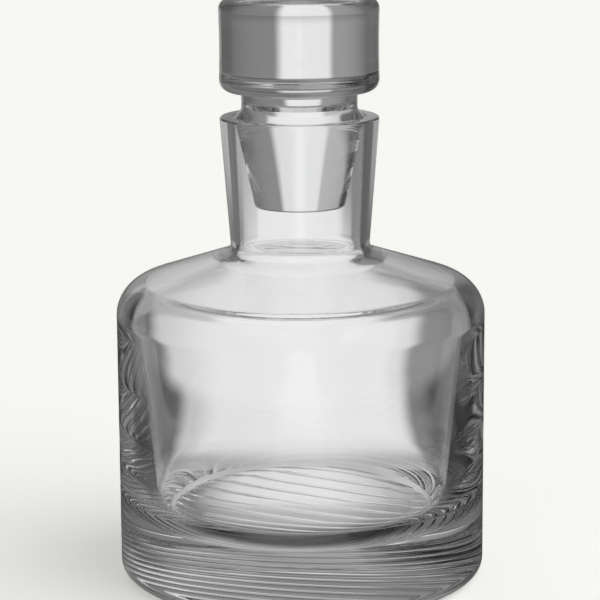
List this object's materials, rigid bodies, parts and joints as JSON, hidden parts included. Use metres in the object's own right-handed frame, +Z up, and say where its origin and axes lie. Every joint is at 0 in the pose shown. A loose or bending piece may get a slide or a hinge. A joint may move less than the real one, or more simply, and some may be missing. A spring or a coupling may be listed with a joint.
{
  "type": "decanter",
  "caption": "Round thick-walled glass decanter with a sloping shoulder, flaring neck, fluted underside and a solid lift-out stopper.",
  "frame": {"origin": "centre of the underside, on the surface that the decanter stands on", "axes": "+Z up along the axis that the bottle and the stopper are turned about; the underside's flutes run 24 degrees clockwise from +X, seen from above"},
  "size_m": [0.129, 0.129, 0.2032],
  "materials": {
    "bottle_glass": "clear, polished",
    "stopper_glass": "clear, polished"
  },
  "bodies": {
    "body": {"bottle": "bottle_glass"},
    "stopper": {"stopper": "stopper_glass"}
  },
  "joints": [
    {"name": "stopper_lift", "type": "slide", "parent": "body", "child": "stopper", "axis": [0, 0, 1], "range_m": [0, 0.05]}
  ]
}
